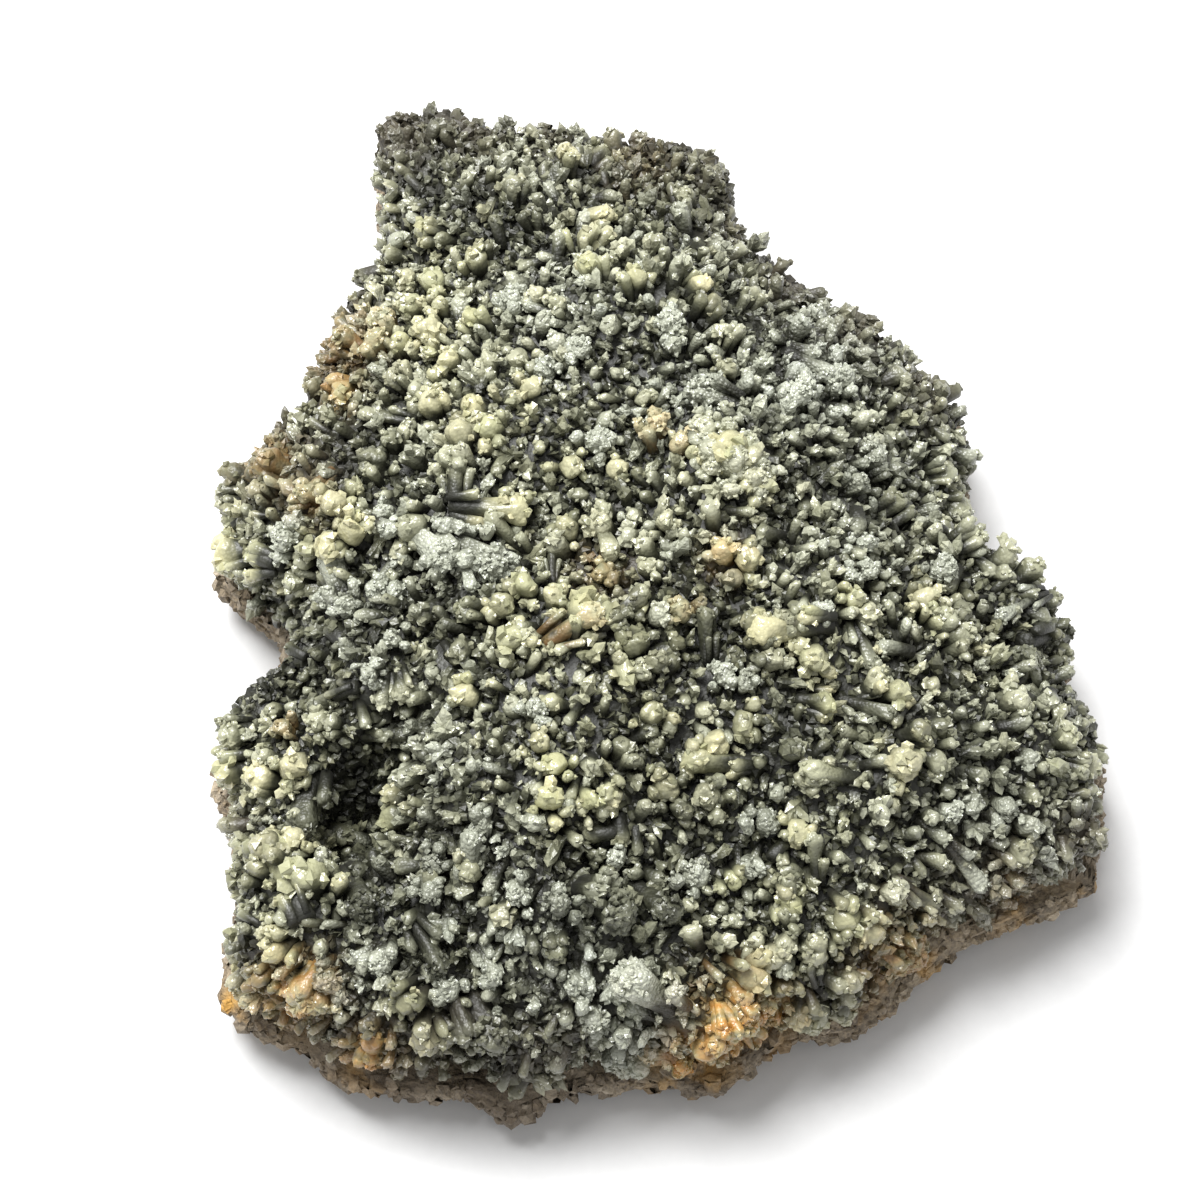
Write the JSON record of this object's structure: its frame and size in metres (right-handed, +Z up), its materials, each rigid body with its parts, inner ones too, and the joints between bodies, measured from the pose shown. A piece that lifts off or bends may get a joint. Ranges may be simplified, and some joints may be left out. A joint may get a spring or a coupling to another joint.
{
  "type": "prehnite mineral specimen",
  "caption": "Rough hand specimen of finger prehnite: knobbed translucent grey-green to yellow-green crystals crusting a slab of brown-grey matrix, with a flat foot.",
  "frame": {"origin": "middle of the specimen's footprint, at the level of the flat foot", "axes": "+Z up off the surface that it rests on, +Y away from the viewer along the specimen's longest way, towards its narrow end, +X to the right across its width"},
  "size_m": [0.1517, 0.1803, 0.0536],
  "materials": {
    "matrix_rock": "rough broken brown-grey rock, dull, with ochre iron stains",
    "prehnite": "translucent vitreous to waxy crystals, grey-green with pale yellow-green ends and sugary frosted patches"
  },
  "bodies": {
    "root": {"matrix": "matrix_rock", "prehnite_crust": "prehnite"}
  },
  "joints": []
}
